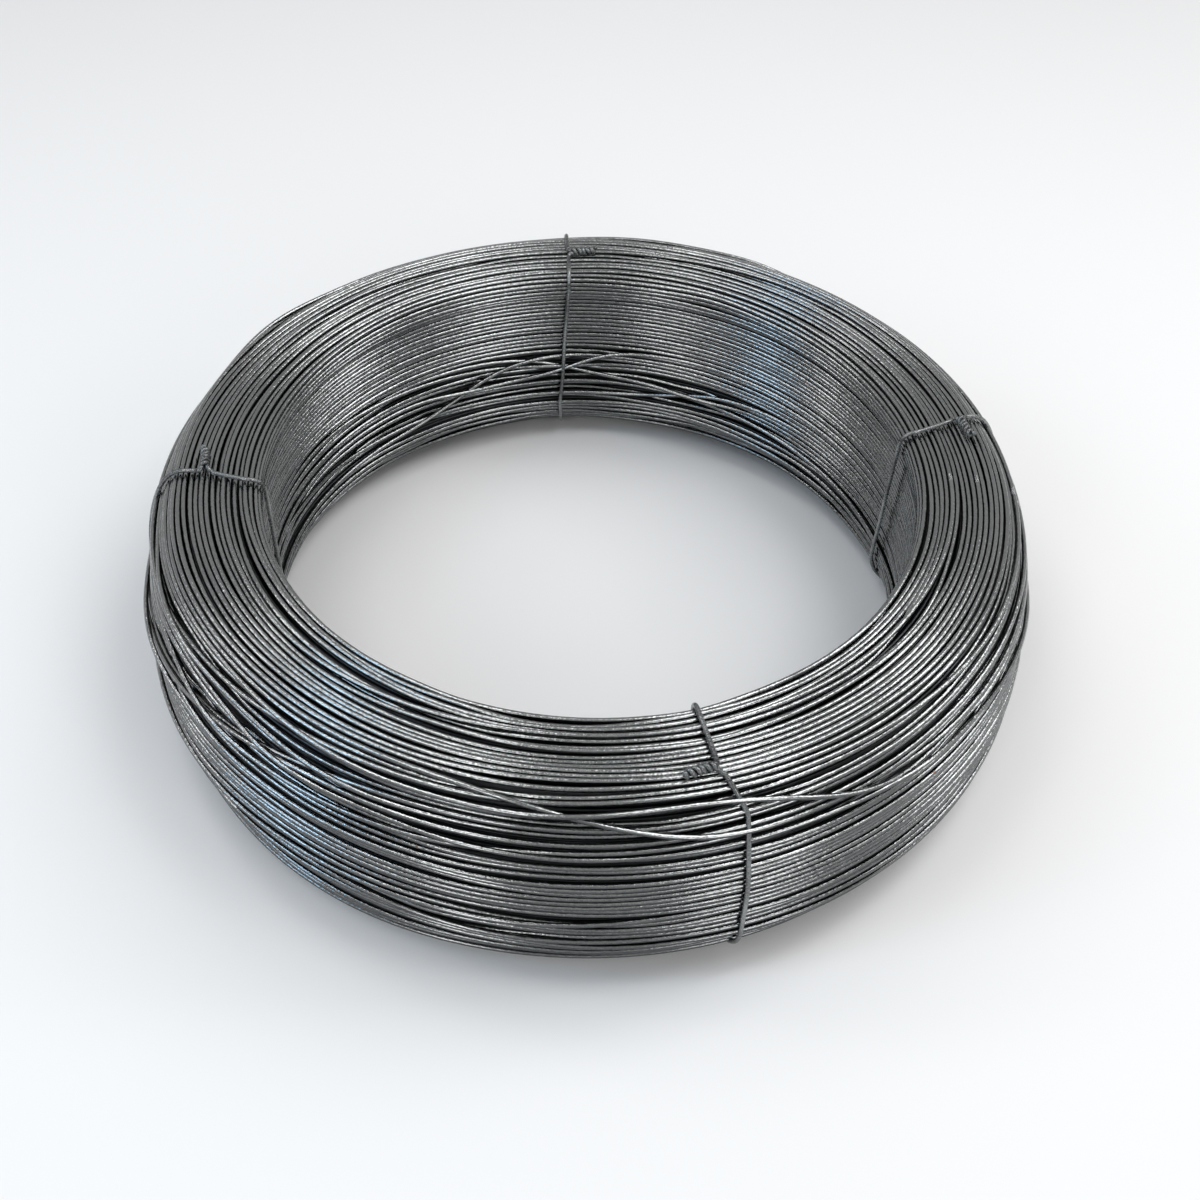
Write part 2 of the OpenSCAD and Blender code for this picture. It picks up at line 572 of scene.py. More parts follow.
    def wind_surface(self):
        """Surface turns: spread over the section, set wandering, packed without overlaps and raised."""
        bearings = self.bearings
        waves = self.chance_waves(*self.SIDE_WAVES, self.sizes.wander * self.SIDE_WAVE_SHARE)
        swells = self.chance_waves(*self.SWELLS, self.SWELL_HEIGHT)
        run, turns, spacing = self.spread_turns()
        self.strands = self.crossing_slots(run, turns)
        count = int(round(turns[-1])) - len(self.strands)
        ranks, seated = self.make_room(count)
        along = np.arange(count)[:, None] + bearings / 360
        even = np.interp(ranks + bearings / 360, turns, run)
        loose = self.looseness(even, bearings)
        numbers = np.linspace(*self.OWN_WAVES)
        numbers += self.chance.uniform(-self.OWN_WAVE_CHANCE, self.OWN_WAVE_CHANCE, numbers.size)
        own = self.OWN_WAVE_SHARE * self.sizes.wander * self.own_waves(along, numbers)
        targets = even + loose * (self.wavy(waves, even, bearings) + own)
        sunk = self.sunk_turns(count)
        nested = (sunk[1:] != sunk[:-1])[:, None]
        tight = np.interp(even[1:], run, 1 - self.KEPT_SPACE_SHARE + self.KEPT_SPACE_SHARE * spacing)
        squeezed = self.SQUEEZE_SHARE * loose[1:] * (1 - nearness(bearings, 0, self.RUN_ON_REACH))
        gaps = self.diameter * (tight - squeezed * nested + seated[1:count])
        self.part_turns(gaps, even)
        placed = packed(targets, gaps)
        self.surface_run = blurred(placed.ravel(), self.RUN_BLUR).reshape(placed.shape)
        swell = self.looseness(self.surface_run, bearings) * self.wavy(swells, self.surface_run, bearings)
        self.surface_rise = self.proud(self.surface_run, bearings) + swell + self.nest(sunk, nested)
        freedom = np.maximum(loose, self.OWN_SWELL_LEAST_SHARE)
        self.surface_rise += self.OWN_SWELL_HEIGHT * freedom * self.unevenness(along)

    def spread_turns(self):
        """Lengths along the section, the count of turns up to each of them and the spacing there."""
        section = self.section
        run = np.linspace(0, section.length, self.SPACING_SAMPLES)
        spots = [section.spot(part, share) for part, share, _ in self.SPACING]
        spacing = np.interp(run, spots, [value for _, _, value in self.SPACING], period=section.length)
        between = self.diameter * 0.5 * (spacing[1:] + spacing[:-1])
        turns = np.concatenate([[0], np.cumsum(np.diff(run) / between)])
        turns *= int(turns[-1]) / turns[-1]
        return run, turns, spacing

    def make_room(self, count):
        """Rank of each turn beside the crossing strands, and how far strands sit in the gap before it."""
        numbers = np.arange(count)[:, None]
        ranks = numbers + np.zeros(self.STEPS)
        seated = np.zeros((count + 1, self.STEPS))
        for slots, lift in self.strands:
            ranks += eased((numbers - slots + 0.5) / self.ROOM_TURNS + 0.5)
            for step, place in enumerate(np.round(slots).astype(int)):
                seated[place, step] += 1 - lift[step]
        return ranks, seated

    def part_turns(self, gaps, even):
        """Widen the gaps of the partings, each between the turns nearest to its place."""
        for part, share, bearing, half, width in PARTINGS:
            middle = int(bearing / 360 * self.STEPS)
            turn = int(np.argmin(np.abs(even[:, middle] - self.section.spot(part, share))))
            gaps[turn - 1] += MILLIMETRE * width * hump(self.bearings, bearing, half)

    def unevenness(self, along):
        """How far each turn stands out by itself, none under the ties."""
        own = self.own_waves(along, np.linspace(*self.OWN_SWELLS))
        for near in tie_nearness(self.bearings, self.EVEN_REACH):
            own = own * (1 - near)
        return own

    def sunk_turns(self, count):
        """Turns that sink between their neighbours where they are pushed together."""
        sunk = np.zeros(count, dtype=bool)
        places = np.cumsum(self.chance.integers(*self.SUNK_STEPS, count))
        sunk[places[: count // self.SUNK_ONE_IN]] = True
        return sunk

    def nest(self, sunk, nested):
        """Heights that keep nested turns a wire's thickness apart, flat under the ties."""
        apart = np.diff(self.surface_run, axis=0)
        need = nested * np.sqrt(np.maximum(self.diameter ** 2 - apart ** 2, 0))
        step = np.zeros(self.surface_run.shape)
        step[:-1] = need
        step[1:] = np.maximum(step[1:], need)
        raised = np.full(self.STEPS, self.NEST_SHARE)
        for near in tie_nearness(self.bearings, self.PRESS_REACH):
            raised = raised - self.NEST_LOSS_SHARE * near
        heights = (raised - sunk[:, None]) * step
        return blurred(heights.ravel(), self.NEST_BLUR).reshape(heights.shape)

    def crossing_slots(self, run, turns):
        """Slots of all crossing strands between the surface turns, and how far each one is lifted."""
        wanted = []
        crossings = list(CROSSINGS) + self.stray_crossings()
        for part, share, strands, bearing, count, half, back, back_half in crossings:
            rank = np.interp(self.section.spot(part, share), run, turns) - bearing / 360
            if back < bearing:
                rank += 1 + count
            hops = ((bearing, count, half), (back, -1 - count, back_half))
            for side in range(strands):
                wanted.append((rank + self.STRAND_PITCH * side, hops))
        wanted.sort()
        return [self.strand_slots(int(rank) - below, hops) for below, (rank, hops) in enumerate(wanted)]

    def strand_slots(self, slot, hops):
        """Slot that a strand is in at each bearing, which moves by whole turns where it crosses."""
        slots, lift = np.full(self.STEPS, float(slot)), np.zeros(self.STEPS)
        for bearing, count, half in hops:
            away = (self.bearings - bearing) / half
            slots += count * eased((away + 1) / 2)
            lift += eased((1 - np.abs(away)) / self.LIFT_SHARE)
        return slots, lift

    def stray_crossings(self):
        """Crossing strands whose places fall by chance, clear of the ties."""
        found = []
        for part, start, end, count in STRAYS:
            for share in np.linspace(start, end, count):
                halves = self.chance.uniform(*self.STRAY_HALVES, 2)
                spans = self.chance.choice(self.STRAY_SPANS, 2, replace=False)
                there, back = (self.chance.uniform(span[0] + half, span[1] - half)
                               for span, half in zip(spans, halves))
                hop = int(self.chance.choice(self.STRAY_HOPS))
                found.append((part, share, 1, there, hop, halves[0], back, halves[1]))
        return found

    def wind_under(self):
        """Under turns: an even layer that winds back across the section, packed without overlaps."""
        count = int(self.section.length / (self.diameter * self.UNDER_SPACING))
        bearings = round_bearings(self.UNDER_STEPS)
        along = count - np.arange(count)[:, None] - bearings / 360
        even = along * self.section.length / count
        numbers = (self.chance.uniform(*self.UNDER_WAVE_RANGE) for _ in range(self.UNDER_WAVES))
        targets = even + self.UNDER_WAVE_HEIGHT * self.own_waves(along, numbers)
        gaps = np.full((count - 1, self.UNDER_STEPS), self.diameter)
        self.under_run = packed(targets[::-1], gaps)[::-1]
        self.under_rise = self.proud(self.under_run, bearings) - self.UNDER_DEPTH * self.diameter

    def wind_crossings(self):
        """Crossing strands lie in their slots, and press the turns that they cross down a little."""
        places = np.array([slots for slots, _ in self.strands])
        lifts = np.array([lift for _, lift in self.strands])
        runs = [self.along_slot(strand, places, lifts) for strand in range(len(places))]
        runs = np.array([blurred_loop(run, self.CROSSING_RUN_BLUR) for run in runs])
        for run, lift in zip(runs, lifts):
            apart = (self.surface_run - run) / (self.CROSSING_PRESS_REACH * self.diameter)
            self.surface_rise -= self.CROSSING_PRESS * self.diameter * lift * np.maximum(1 - apart ** 2, 0)
        rises = []
        for run in runs:
            rises.append(self.carried(run, zip(runs, rises)))
        self.crossing_run, self.crossing_rise = runs, np.array(rises)

    def along_slot(self, strand, places, lifts):
        """Length along the section of one strand, which shares its slot with the others that sit in it."""
        together = (1 - lifts) * np.maximum(1 - np.abs(places - places[strand]), 0)
        together[strand] = 0
        share = (together[:strand].sum(axis=0) + 0.5) / (together.sum(axis=0) + 1)
        numbers = np.broadcast_to(np.arange(len(self.surface_run))[:, None], self.surface_run.shape)
        return read_steps(places[strand] - 1 + share, numbers, self.surface_run)

    def carried(self, run, laid):
        """Height at which a strand lies on the surface turns and on the strands already laid."""
        squared = self.diameter ** 2
        rise = read_steps(run, self.surface_run, self.surface_rise)
        apart = np.abs(self.surface_run - run)
        seat = self.surface_rise + np.sqrt(np.maximum(squared - apart ** 2, 0))
        rise = np.maximum(rise, np.where(apart < self.diameter, seat, -np.inf).max(axis=0))
        for other, height in laid:
            apart = np.abs(other - run)
            seat = height + np.sqrt(np.maximum(self.STACK_SHARE * squared - apart ** 2, 0))
            rise = np.maximum(rise, np.where(apart < self.STACK_REACH * self.diameter, seat, -np.inf))
        shifts = range(-self.HOLD_STEPS, self.HOLD_STEPS + 1)
        rise = np.max([np.roll(rise, shift) for shift in shifts], axis=0)
        return blurred_loop(rise, self.CROSSING_RISE_BLUR)


# Radius of the end rings of a run of turns as a share of the wire's own
END_RING_SHARE = 0.9

# How much more the crest of a turn, which stays clear of the painted shade on its underside, looks up than
# out of the coil
CREST_LIFT = 3


def spun_length(sides):
    """A short length of round wire, spun about the coil's axis.

    Tells for every face corner whether it is on the ring ahead, and at which side of the ring. All wire
    repeats these faces.
    """
    wire_radius, spun_angle = 0.1, 0.1
    bm = bmesh.new()
    stand = Matrix.Translation((1, 0, 0)) @ Matrix.Rotation(math.pi / 2, 4, "X")
    bmesh.ops.create_circle(bm, segments=sides, radius=wire_radius, matrix=stand)
    bmesh.ops.spin(bm, geom=bm.edges[:], axis=(0, 0, 1), angle=spun_angle, steps=1)
    bmesh.ops.recalc_face_normals(bm, faces=bm.faces[:])
    points = np.array([vert.co for vert in bm.verts])
    corners = np.array([[vert.index for vert in face.verts] for face in bm.faces])
    first = bm.faces[:][0]
    middle = first.calc_center_median()
    spine = Vector((middle.x, middle.y, 0)).normalized()
    inward = first.normal.dot(middle - spine) < 0
    bm.free()
    if inward:
        corners = corners[:, ::-1]
    bearings = np.arctan2(points[:, 1], points[:, 0])
    angles = np.arctan2(points[:, 2], np.hypot(points[:, 0], points[:, 1]) - 1)
    # Points lie on whole or half sides, and a quarter more keeps them off the edge between two places
    places = np.floor(angles / (2 * np.pi) * sides + 0.25).astype(int) % sides
    return (bearings > bearings.mean())[corners], places[corners]


def fill_ends(bm):
    """Cap the open ends of a wire."""
    bmesh.ops.holes_fill(bm, edges=[edge for edge in bm.edges if edge.is_boundary], sides=0)


def mark_skin(mesh, along, angle, outward, wire_radius):
    """Store what the finish reads: each point's place on the wire, and how near it is to the crest, which
    sets the painted shade on the turn's underside.
    """
    around = wire_radius * np.cos(angle), wire_radius * np.sin(angle)
    lay = np.stack(np.broadcast_arrays(along, *around), axis=-1).astype(np.float32)
    upward = np.arctan2(np.sin(outward) + CREST_LIFT, np.minimum(np.cos(outward), 0))
    crest = (0.5 + 0.5 * np.cos(angle - upward)).astype(np.float32)
    mesh.attributes.new("lay", "FLOAT_VECTOR", "POINT").data.foreach_set("vector", lay.ravel())
    mesh.attributes.new("crest", "FLOAT", "POINT").data.foreach_set("value", crest.ravel())


def lay_wire(name, rings, steps, sides, wire_radius, first_turn, closed):
    """Tubes of wire along rings of centres, joined in one mesh.

    Closed wire is a set of loops. Open wire is one run of turns, whose end rings are thinner and lie inside
    the wire that carries on from them, so that no joint shows.
    """
    radius, level, outward = (values.reshape(-1, 1) for values in rings)
    number = np.arange(radius.size)
    thick = np.full(radius.shape, wire_radius)
    if closed:
        step, behind, ahead = number, number, number // steps * steps + (number + 1) % steps
    else:
        step, behind, ahead = number - 1, number[:-1], number[1:]
        thick[[0, -1]] *= END_RING_SHARE
    bearing = (step * 2 * np.pi / steps)[:, None]
    angle = np.arange(sides) * 2 * np.pi / sides
    out, up = radius + thick * np.cos(angle), level + thick * np.sin(angle)
    points = np.stack([out * np.cos(bearing), out * np.sin(bearing), up], axis=-1)
    is_ahead, places = spun_length(sides)
    corners = np.where(is_ahead, ahead[:, None, None], behind[:, None, None])
    mesh = bpy.data.meshes.new(name)
    mesh.from_pydata(points.reshape(-1, 3), [], (corners * sides + places).reshape(-1, 4))
    if not closed:
        bm = bmesh.new()
        bm.from_mesh(mesh)
        fill_ends(bm)
        bm.to_mesh(mesh)
        bm.free()
    along = (first_turn + step / steps)[:, None] * 2 * np.pi * radius.mean()
    mark_skin(mesh, along, angle, outward, wire_radius)
    mesh.shade_smooth()
    return mesh


def add_piece(name, mesh, material, node):
    """A finished piece: its object at the origin, its finish and the solid that it stands for."""
    piece = bpy.data.objects.new(name, mesh)
    bpy.context.scene.collection.objects.link(piece)
    mesh.materials.append(material)
    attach(piece, "root")
    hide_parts(node)
    return piece


def feed(tree, socket, value):
    """Link a socket to the one that feeds it, or give it a plain value."""
    if isinstance(value, bpy.types.NodeSocket):
        tree.links.new(value, socket)
    else:
        socket.default_value = value


def add_node(tree, kind, **values):
    """A shader node whose inputs are fed by name."""
    node = tree.nodes.new("ShaderNode" + kind)
    for key, value in values.items():
        feed(tree, node.inputs[key.replace("_", " ")], value)
    return node


def stretched_noise(tree, position, scale, detail, roughness):
    """Noise over a position that is scaled along and across the wire."""
    spread = add_node(tree, "Mapping", Vector=position, Scale=scale).outputs["Vector"]
    noise = add_node(tree, "TexNoise", Vector=spread, Scale=1.0, Detail=detail, Roughness=roughness)
    return noise.outputs["Fac"]


def ranged(tree, value, low, high, start, end):
    """A value carried from one range to another, held at its ends."""
    node = add_node(tree, "MapRange", Value=value, From_Min=low, From_Max=high, To_Min=start, To_Max=end)
    return node.outputs["Result"]


def reckoned(tree, operation, *values):
    """The result of a Math node on some values."""
    node = add_node(tree, "Math")
    node.operation = operation
    for socket, value in zip(node.inputs, values):
        feed(tree, socket, value)
    return node.outputs["Value"]


# Sockets of a Mix node that carry its two colours in and the mixed one out
UNDER_COLOUR, OVER_COLOUR, MIXED_COLOUR = 6, 7, 2


def mixed(tree, share, under, over):
    """One colour laid over another by a share."""
    node = add_node(tree, "Mix", Factor=share)
    node.data_type = "RGBA"
    feed(tree, node.inputs[UNDER_COLOUR], under)
    feed(tree, node.inputs[OVER_COLOUR], over)
    return node.outputs[MIXED_COLOUR]


def attribute(tree, name):
    """Outputs of a node that reads one of the wire's own attributes."""
    node = add_node(tree, "Attribute")
    node.attribute_name = name
    return node.outputs


# Sockets of the drawn wire skin: name, way and kind
SKIN_SOCKETS = (
    ("Position", "INPUT", "Vector"),
    ("Bright", "INPUT", "Color"),
    ("Dull", "INPUT", "Color"),
    ("Smooth", "INPUT", "Float"),
    ("Rough", "INPUT", "Float"),
    ("Colour", "OUTPUT", "Color"),
    ("Roughness", "OUTPUT", "Float"),
    ("Height", "OUTPUT", "Float"),
)

# Height of the dashes in the skin against that of its streaks
DASH_HEIGHT = 2.2


def drawn_wire_group():
    """Skin of drawn wire: lengthwise streaks, short bright and dull dashes, and slow changes of tone."""
    group = bpy.data.node_groups.new("Drawn wire skin", "ShaderNodeTree")
    for name, way, kind in SKIN_SOCKETS:
        group.interface.new_socket(name, in_out=way, socket_type="NodeSocket" + kind)
    given = group.nodes.new("NodeGroupInput").outputs
    position = given["Position"]
    tone = stretched_noise(group, position, scale=(9, 60, 60), detail=2, roughness=0.5)
    streak = stretched_noise(group, position, scale=(40, 1200, 1200), detail=2, roughness=0.5)
    dash = stretched_noise(group, position, scale=(520, 1100, 1100), detail=3, roughness=0.6)
    grain = stretched_noise(group, position, scale=(1500, 1800, 1800), detail=2, roughness=0.6)
    slow = ranged(group, tone, low=0.35, high=0.65, start=0.1, end=0.6)
    fine = ranged(group, grain, low=0.3, high=0.7, start=-0.15, end=0.45)
    colour = mixed(group, reckoned(group, "ADD", slow, fine), given["Bright"], given["Dull"])
    rough = ranged(group, dash, low=0.54, high=0.42, start=given["Smooth"], end=given["Rough"])
    height = reckoned(group, "MULTIPLY_ADD", dash, DASH_HEIGHT, streak)
    taken = group.nodes.new("NodeGroupOutput").inputs
    group.links.new(colour, taken["Colour"])
    group.links.new(rough, taken["Roughness"])
    group.links.new(height, taken["Height"])
    return group


def wire_skin():
    """The node group of the drawn wire skin, made once."""
    return bpy.data.node_groups.get("Drawn wire skin") or drawn_wire_group()


def new_material(name, metallic):
    """A node material with its tree and its surface."""
    material = bpy.data.materials.new(name)
    material.use_nodes = True
    shader = material.node_tree.nodes["Principled BSDF"]
    shader.inputs["Metallic"].default_value = metallic
    return material, material.node_tree, shader


def skin(tree, position, bright, dull, smooth, rough):
    """Outputs of the drawn wire skin placed in a material with its own values."""
    node = tree.nodes.new("ShaderNodeGroup")
    node.node_tree = wire_skin()
    tree.links.new(position, node.inputs["Position"])
    node.inputs["Bright"].default_value = (*bright, 1)
    node.inputs["Dull"].default_value = (*dull, 1)
    node.inputs["Smooth"].default_value = smooth
    node.inputs["Rough"].default_value = rough
    return node.outputs


def emboss(tree, shader, height, strength, depth):
    """Raise the relief of a skin on a surface."""
    bump = add_node(tree, "Bump", Strength=strength, Distance=depth, Height=height)
    tree.links.new(bump.outputs["Normal"], shader.inputs["Normal"])


def wound_steel(finish):
    """Steel of the wound wire, with painted shade on the undersides of the turns and near the floor, and
    with rust specks.
    """
    material, tree, shader = new_material("wound_steel", metallic=1.0)
    wire = skin(tree, attribute(tree, "lay")["Vector"], finish.bright_steel, finish.dull_steel,
                smooth=0.09, rough=0.2)
    place = add_node(tree, "TexCoord").outputs["Object"]
    level = add_node(tree, "SeparateXYZ", Vector=place).outputs["Z"]
    # Painted shade: the undersides of the turns, and the turns near the floor, are darkened where shade
    # falls
    beneath = ranged(tree, attribute(tree, "crest")["Fac"], low=0.63, high=0.85, start=0.94, end=0)
    near_floor = ranged(tree, level, low=0.008, high=0.05, start=0.45, end=0)
    painted_shade_share = reckoned(tree, "MAXIMUM", beneath, near_floor)
    with_painted_shade = mixed(tree, painted_shade_share, wire["Colour"], (*finish.painted_shade_steel, 1))
    speck = stretched_noise(tree, place, scale=(190, 190, 190), detail=3, roughness=0.6)
    rusty = ranged(tree, speck, low=0.735, high=0.77, start=0, end=0.8)
    tree.links.new(mixed(tree, rusty, with_painted_shade, (*finish.rust, 1)), shader.inputs["Base Color"])
    tree.links.new(wire["Roughness"], shader.inputs["Roughness"])
    emboss(tree, shader, wire["Height"], strength=0.7, depth=0.00012)
    return material


def shaded_steel(finish):
    """Steel of the under layer, painted dark as the shade between the turns."""
    material, tree, shader = new_material("shaded_steel", metallic=1.0)
    # Painted shade: both colours of this skin stand for the shade deep between the surface turns
    wire = skin(tree, attribute(tree, "lay")["Vector"], finish.painted_shade_steel, finish.tie_dark,
                smooth=0.3, rough=0.5)
    tree.links.new(wire["Colour"], shader.inputs["Base Color"])
    tree.links.new(wire["Roughness"], shader.inputs["Roughness"])
    return material


def annealed_steel(finish):
    """Dark soft steel of the tie wires."""
    material, tree, shader = new_material("annealed_steel", metallic=0.85)
    place = add_node(tree, "TexCoord").outputs["Object"]
    wire = skin(tree, place, finish.tie_light, finish.tie_dark, smooth=0.2, rough=0.42)
    tree.links.new(wire["Colour"], shader.inputs["Base Color"])
    tree.links.new(wire["Roughness"], shader.inputs["Roughness"])
    emboss(tree, shader, wire["Height"], strength=0.4, depth=0.00015)
    return material


def pale_floor(finish):
    """Matt floor without a sheen."""
    material, _, shader = new_material("pale_floor", metallic=0.0)
    shader.inputs["Base Color"].default_value = (*finish.floor, 1)
    shader.inputs["Roughness"].default_value = 0.9
    shader.inputs["Specular IOR Level"].default_value = 0.0
    return material


class WIRECOIL_OT_wind(bpy.types.Operator):
    """Lay the turns of the coil: the under layer, the surface layer and the crossing strands"""

    bl_idname = "wirecoil.wind"
    bl_label = "Wind the Coil"

    # Pieces of the surface layer, and the part of the section and share of it where each one starts
    PIECES = (
        ("toe_turns", "toe", 0.0),
        ("wall_turns", "wall", 0.15),
        ("crown_turns", "rim", 0.0),
        ("shoulder_turns", "shoulder", 0.1),
        ("heel_turns", "shoulder", 0.9),
    )

    # Radius of the wire as a share of its diameter, just under a half so that turns don't touch
    RADIUS_SHARE = 0.492

    # Sides of the wire, and of that in the under layer
    SIDES = 8
    UNDER_SIDES = 6

    # Turns at which the skin of the under layer and of the crossing strands starts, past the last one of
    # the surface layer
    UNDER_START = 300
    CROSSING_START = 600

    def execute(self, context):
        sizes, finish = context.scene.wire_coil, context.scene.wire_finish
        winding = Winding(sizes)
        section, steps = winding.section, winding.STEPS
        wire_radius = self.RADIUS_SHARE * sizes.wire_diameter
        wound = wound_steel(finish)
        lay = section.place(winding.surface_run, winding.surface_rise)
        starts = self.first_turns(winding)
        for (name, _, _), first, last in zip(self.PIECES, starts, starts[1:]):
            rings = self.stretch(lay, first * steps, last * steps)
            mesh = lay_wire(name, rings, steps, self.SIDES, wire_radius, first, closed=False)
            add_piece(name, mesh, wound, "wire_coil")
        lay = section.place(winding.under_run, winding.under_rise)
        rings = self.stretch(lay, 0, winding.under_run.size)
        lay_values = (winding.UNDER_STEPS, self.UNDER_SIDES, wire_radius, self.UNDER_START)
        mesh = lay_wire("under_turns", rings, *lay_values, closed=False)
        add_piece("under_turns", mesh, shaded_steel(finish), "wire_coil")
        rings = section.place(winding.crossing_run, winding.crossing_rise)
        lay_values = (steps, self.SIDES, wire_radius, self.CROSSING_START)
        mesh = lay_wire("crossing_turns", rings, *lay_values, closed=True)
        add_piece("crossing_turns", mesh, wound, "wire_coil")
        return {"FINISHED"}

    def first_turns(self, winding):
        """Turn at which each piece of the surface layer starts, and the count of turns."""
        starts = [0]
        for _, part, share in self.PIECES[1:]:
            starts.append(int(np.argmax(winding.surface_run[:, 0] > winding.section.spot(part, share))))
        return starts + [len(winding.surface_run)]

    def stretch(self, lay, first, last):
        """Lay of the rings from first to last and of one more at each end.

        The last turn ends where the first one starts.
        """
        rings = np.arange(first - 1, last + 2) % lay[0].size
        return [values.ravel()[rings] for values in lay]


# Shares of the tie wire's diameter: distance of a twisted strand from the middle of the twist, radius of
# the bend before the twist, and length of one turn of it
SPREAD_SHARE = 0.6
BEND_SHARE = 0.9
TWIST_PITCH_SHARE = 2.45

# Shares of the twist at which the outer and the inner strand end, and shares of its length that the twist
# takes up, before its end and past it
OUTER_END_SHARE = 1.32
INNER_END_SHARE = 0.93
TWIST_TAKE_SHARE = 0.87
TAIL_TAKE_SHARE = 0.4

# Unevenness of the twist: radians that it runs ahead, share by which it widens, rate of both waves, and how
# far its tip leans outward
TWIST_AHEAD, AHEAD_WAVES = 0.4, 0.8
TWIST_WIDENING, WIDENING_WAVES = 0.1, 1.7
TIP_LEAN = 0.0008

# Degrees from point to point on the bend and on the twist
BEND_STEP = 10
TWIST_STEP = 15

# Length from point to point round the section, length in which a tie swings from its knot to its outer
# side, and sway of the wire in degrees and its length for a radian
LOOP_STEP = 0.0018
SWING_LENGTH = 0.018
SWAY = 0.12
SWAY_LENGTH = 0.0065

# Share of its first and last step at which a tie wire gets a further ring, to look round up to its ends
TIP_RING_SHARE = 0.15

# Sides of a tie wire
TIE_SIDES = 12


def tie_strand(ties, knot_radius, level, side):
    """One strand of a twisted end from its bend to its tip, as length, radius and level."""
    spread, bend = SPREAD_SHARE * ties.diameter, BEND_SHARE * ties.diameter
    points = []
    for angle in np.radians(np.arange(0, 90 + BEND_STEP, BEND_STEP)):
        length = bend * (1 - math.cos(angle))
        radius = knot_radius + side * (spread + bend * (1 - math.sin(angle)))
        points.append((length, radius, level + spread * (1 - math.cos(2 * angle)) / 2))
    whole = 2 * math.pi * ties.twist_length / (TWIST_PITCH_SHARE * ties.diameter)
    last = whole * (OUTER_END_SHARE if side > 0 else INNER_END_SHARE)
    step = math.radians(TWIST_STEP)
    for angle in np.arange(step, last, step):
        share, past = min(angle / whole, 1), max(angle / whole - 1, 0)
        length = bend + ties.twist_length * (TWIST_TAKE_SHARE * share + TAIL_TAKE_SHARE * past)
        turned = angle + TWIST_AHEAD * math.sin(AHEAD_WAVES * angle)
        wide = side * spread * (1 + TWIST_WIDENING * math.sin(WIDENING_WAVES * angle))
        radius = knot_radius + wide * math.cos(turned) + TIP_LEAN * share ** 2
        points.append((length, radius, level + spread + wide * math.sin(turned)))
    return np.array(points)


def laid_on_turns(points, bearing):
    """A strand laid along the turns, clockwise seen from above, at the bearing of its knot."""
    angle = math.radians(bearing)
    length, radius, level = points.T
    return np.stack([
        radius * math.cos(angle) + length * math.sin(angle),
        radius * math.sin(angle) - length * math.cos(angle),
        level,
    ], axis=1)


def tie_path(sizes, ties, bearings, place):
    """Whole path of a tie: one twisted strand, once round the section, and the other strand."""
    outer, knot, inner, toe = bearings
    outline = Section(sizes, -ties.standoff - ties.diameter / 2)
    knot_radius = sizes.eye_radius + place * (sizes.outer_radius - sizes.shoulder_width - sizes.eye_radius)
    level = sizes.crown_level + ties.standoff + ties.diameter / 2
    bend = (SPREAD_SHARE + BEND_SHARE) * ties.diameter
    start = outline.crown_spot(knot_radius)
    end = start + outline.length
    run = np.arange(start + bend, end - bend, LOOP_STEP)
    radius, height, _ = outline.place(run, 0.0)
    toe_end, rim_end = (outline.spot(part, 1.0) + outline.length for part in ("toe", "rim"))
    marks = [start, start + SWING_LENGTH, outline.spot("heel", 0.0), toe_end, rim_end, end]
    angle = np.interp(run, marks, [knot, outer, outer, toe, inner, knot])
    free = np.sin(np.pi * np.clip((run - run[0]) / (run[-1] - run[0]), 0, 1))
    angle = np.radians(angle + SWAY * free * np.sin(run / SWAY_LENGTH + outer))
    loop = np.stack([radius * np.cos(angle), radius * np.sin(angle), height], axis=1)
    first = laid_on_turns(tie_strand(ties, knot_radius, level, 1), knot)
    second = laid_on_turns(tie_strand(ties, knot_radius, level, -1), knot)
    return np.concatenate([first[::-1], loop, second])


def drawn_along(name, path, wire_radius, sides):
    """A round wire drawn along a path: a ring extruded from point to point, with capped ends."""
    points = [Vector(point) for point in path]
    points.insert(1, points[0].lerp(points[1], TIP_RING_SHARE))
    points.insert(-1, points[-1].lerp(points[-2], TIP_RING_SHARE))
    bm = bmesh.new()
    heading = (points[1] - points[0]).normalized()
    turn = heading.to_track_quat("Z", "Y")
    stand = Matrix.Translation(points[0]) @ turn.to_matrix().to_4x4()
    bmesh.ops.create_circle(bm, segments=sides, radius=wire_radius, matrix=stand)
    edges = bm.edges[:]
    for behind, here, after in zip(points, points[1:], points[2:] + points[-1:]):
        ahead = (after - behind).normalized()
        turn = heading.rotation_difference(ahead) @ turn
        heading = ahead
        moved = Matrix.Translation(here) @ turn.to_matrix().to_4x4()
        made = bmesh.ops.extrude_edge_only(bm, edges=edges)["geom"]
        edges = [item for item in made if isinstance(item, bmesh.types.BMEdge)]
        verts = [item for item in made if isinstance(item, bmesh.types.BMVert)]
        bmesh.ops.transform(bm, matrix=moved @ stand.inverted(), verts=verts)
        stand = moved
    fill_ends(bm)
    bmesh.ops.recalc_face_normals(bm, faces=bm.faces[:])
    mesh = bpy.data.meshes.new(name)
    bm.to_mesh(mesh)
    bm.free()
    mesh.shade_smooth()
    return mesh


class WIRECOIL_OT_tie(bpy.types.Operator):
    """Pass the four tie wires round the coil and twist their ends together on top"""

    bl_idname = "wirecoil.tie"
    bl_label = "Tie the Coil"

    def execute(self, context):
        sizes, ties = context.scene.wire_coil, context.scene.wire_ties
        material = annealed_steel(context.scene.wire_finish)
        for name, (bearings, place) in TIES.items():
            path = tie_path(sizes, ties, bearings, place)
            mesh = drawn_along(name + "_tie", path, ties.diameter / 2, TIE_SIDES)
            add_piece(name + "_tie", mesh, material, "tie_" + name)
        return {"FINISHED"}


